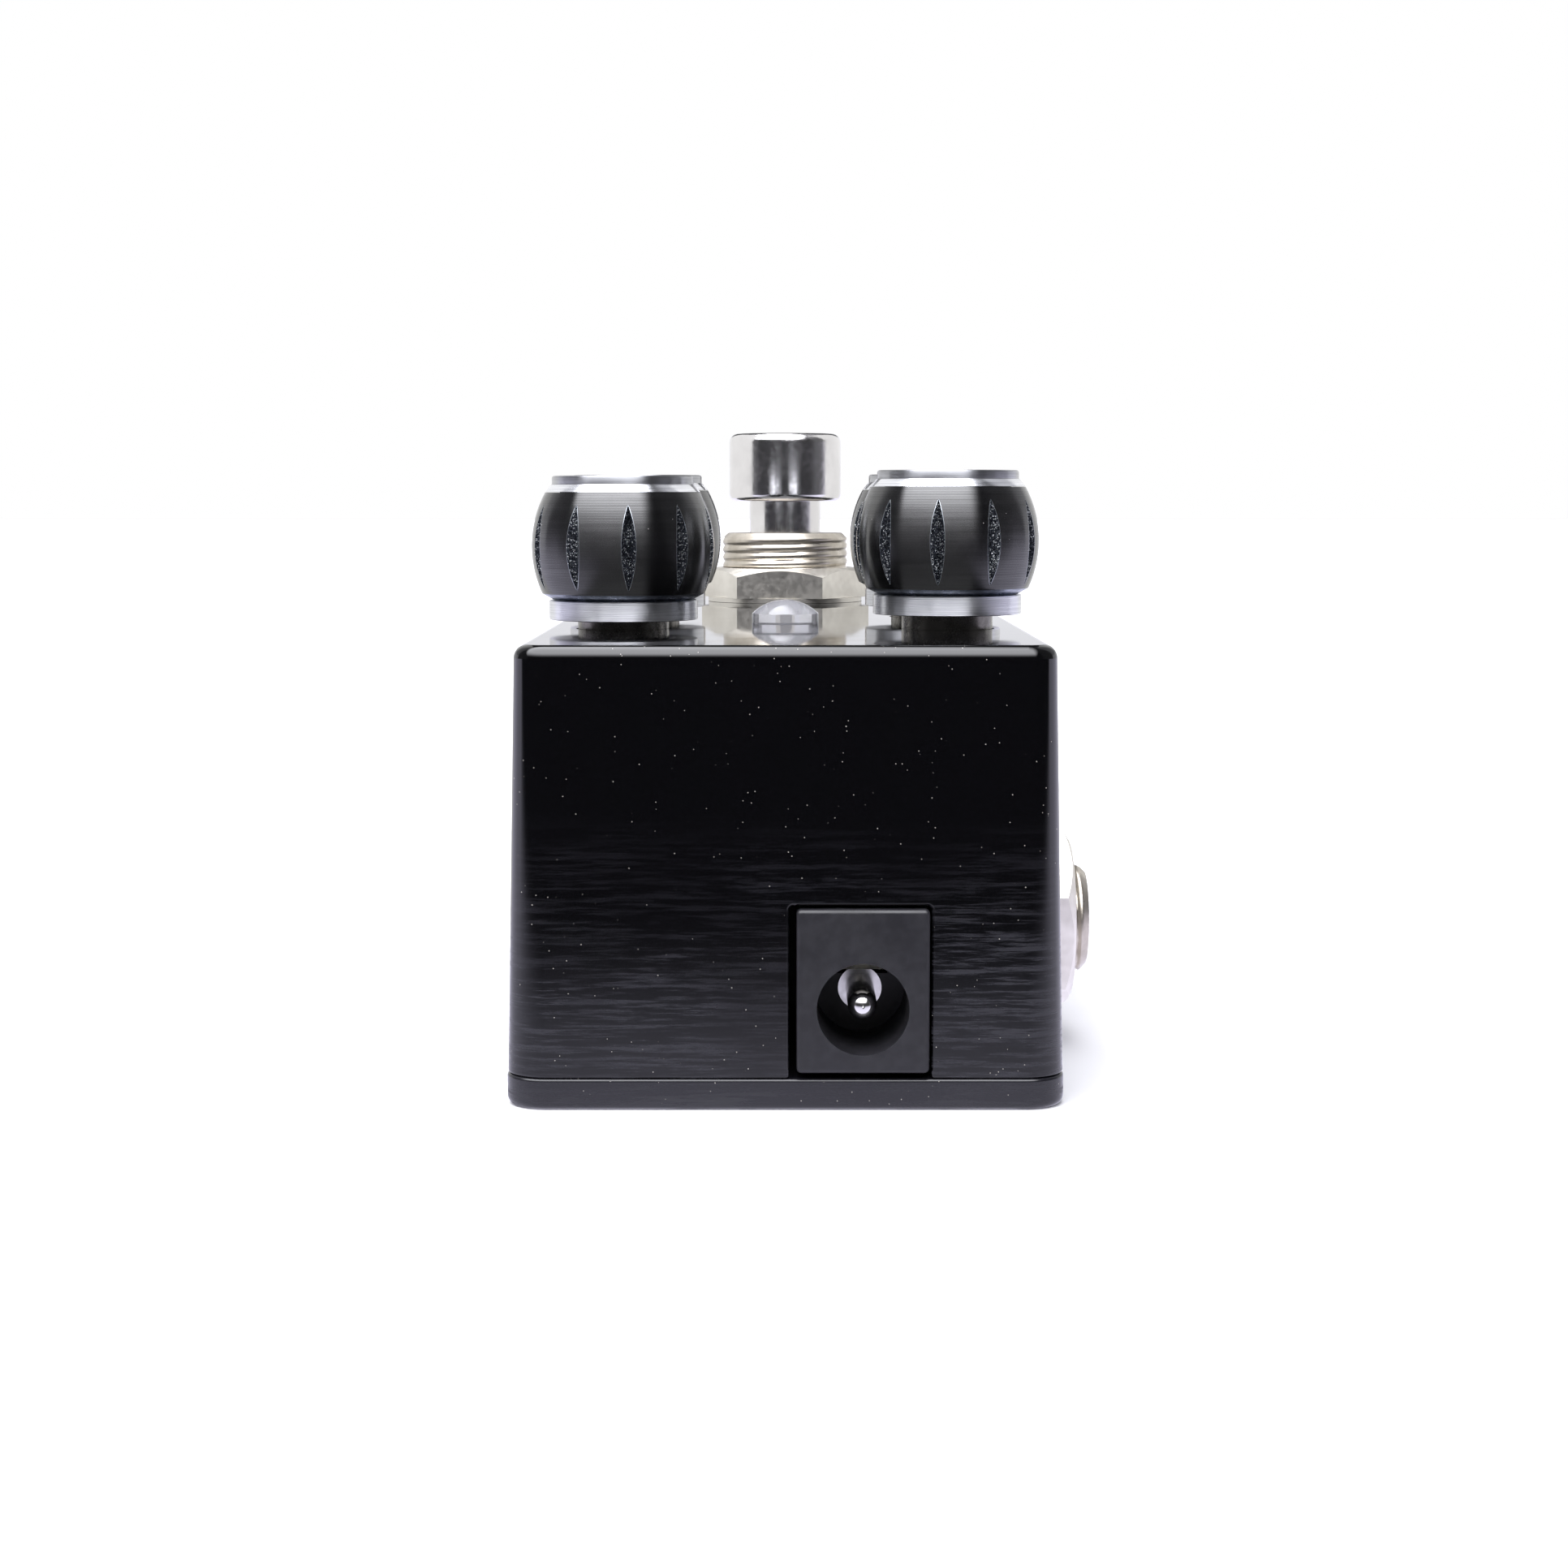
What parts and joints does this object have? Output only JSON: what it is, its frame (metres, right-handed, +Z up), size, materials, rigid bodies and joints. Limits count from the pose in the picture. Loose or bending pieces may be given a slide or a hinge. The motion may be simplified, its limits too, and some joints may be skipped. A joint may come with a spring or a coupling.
{
  "type": "guitar effects pedal",
  "caption": "Mini guitar effects pedal: die-cast box with fluted knobs, status lens, latching foot switch, side jacks and a rear power socket.",
  "frame": {"origin": "centre of the base plate's underside, on the floor", "axes": "+Z up; +Y from the rear wall, where the power socket is, towards the foot switch; +X to the right as seen from the rear, towards the output jack"},
  "size_m": [0.0466, 0.0929, 0.0482],
  "materials": {
    "box_paint": "die-cast aluminium, black gloss paint",
    "plate_paint": "die-cast aluminium, black gloss paint",
    "black_steel": "blackened steel screws",
    "nickel": "warm nickel plate",
    "spring_steel": "bright spring steel",
    "black_plastic": "matte black moulding",
    "tinned_brass": "tinned contact metal",
    "anodised_black": "black anodised aluminium",
    "bright_metal": "bright turned aluminium",
    "zinc": "die-cast zinc, tumbled",
    "clear_plastic": "clear moulded plastic",
    "board_green": "solder-masked board",
    "phenolic": "brown phenolic moulding",
    "led_epoxy": "clear epoxy"
  },
  "bodies": {
    "chassis": {"enclosure_shell": "box_paint", "base_plate": "plate_paint", "base_screws": "black_steel", "dc_jack_housing": "black_plastic", "dc_jack_pin": "bright_metal", "dc_jack_contact": "tinned_brass", "dc_jack_tags": "tinned_brass", "power_board": "board_green", "pot_bushings": "zinc", "pot_bases": "phenolic", "pot_terminals": "tinned_brass", "footswitch_bushing": "nickel", "footswitch_washer": "nickel", "footswitch_nut": "nickel", "footswitch_inner_nut": "nickel", "footswitch_frame": "zinc", "footswitch_body": "phenolic", "footswitch_lugs": "tinned_brass", "footswitch_contacts": "tinned_brass", "footswitch_spring": "spring_steel", "footswitch_board": "board_green", "footswitch_leads": "tinned_brass", "led_lens": "clear_plastic", "status_led": "led_epoxy", "control_board": "board_green", "amplifier_chips": "black_plastic", "capacitors": "black_plastic", "board_header": "black_plastic", "jack_leads": "tinned_brass", "output_jack_body": "black_plastic", "output_jack_bushing": "nickel", "output_jack_washer": "nickel", "output_jack_nut": "nickel", "output_jack_contacts": "tinned_brass", "input_jack_body": "black_plastic", "input_jack_bushing": "nickel", "input_jack_washer": "nickel", "input_jack_nut": "nickel", "input_jack_contacts": "tinned_brass"},
    "knob_1": {"knob_barrel_1": "anodised_black", "knob_bezel_1": "bright_metal", "knob_core_1": "bright_metal", "knob_set_screw_1": "black_steel", "pot_shaft_1": "zinc"},
    "knob_2": {"knob_barrel_2": "anodised_black", "knob_bezel_2": "bright_metal", "knob_core_2": "bright_metal", "knob_set_screw_2": "black_steel", "pot_shaft_2": "zinc"},
    "knob_3": {"knob_barrel_3": "anodised_black", "knob_bezel_3": "bright_metal", "knob_core_3": "bright_metal", "knob_set_screw_3": "black_steel", "pot_shaft_3": "zinc"},
    "knob_4": {"knob_barrel_4": "anodised_black", "knob_bezel_4": "bright_metal", "knob_core_4": "bright_metal", "knob_set_screw_4": "black_steel", "pot_shaft_4": "zinc"},
    "foot_button": {"footswitch_plunger": "nickel"}
  },
  "joints": [
    {"name": "knob_1_turn", "type": "hinge", "parent": "chassis", "child": "knob_1", "pos_m": [-0.01245, -0.022, 0.033], "axis": [0, 0, 1], "range_deg": [-150, 150]},
    {"name": "knob_2_turn", "type": "hinge", "parent": "chassis", "child": "knob_2", "pos_m": [0.01245, -0.022, 0.033], "axis": [0, 0, 1], "range_deg": [-150, 150]},
    {"name": "knob_3_turn", "type": "hinge", "parent": "chassis", "child": "knob_3", "pos_m": [-0.01245, -0.002, 0.033], "axis": [0, 0, 1], "range_deg": [-150, 150]},
    {"name": "knob_4_turn", "type": "hinge", "parent": "chassis", "child": "knob_4", "pos_m": [0.01245, -0.002, 0.033], "axis": [0, 0, 1], "range_deg": [-150, 150]},
    {"name": "foot_button_press", "type": "slide", "parent": "chassis", "child": "foot_button", "axis": [0, 0, -1], "range_m": [0, 0.0025], "stiffness_N_per_m": 4000, "springref_m": -0.0015, "deforming": ["footswitch_spring"]}
  ]
}
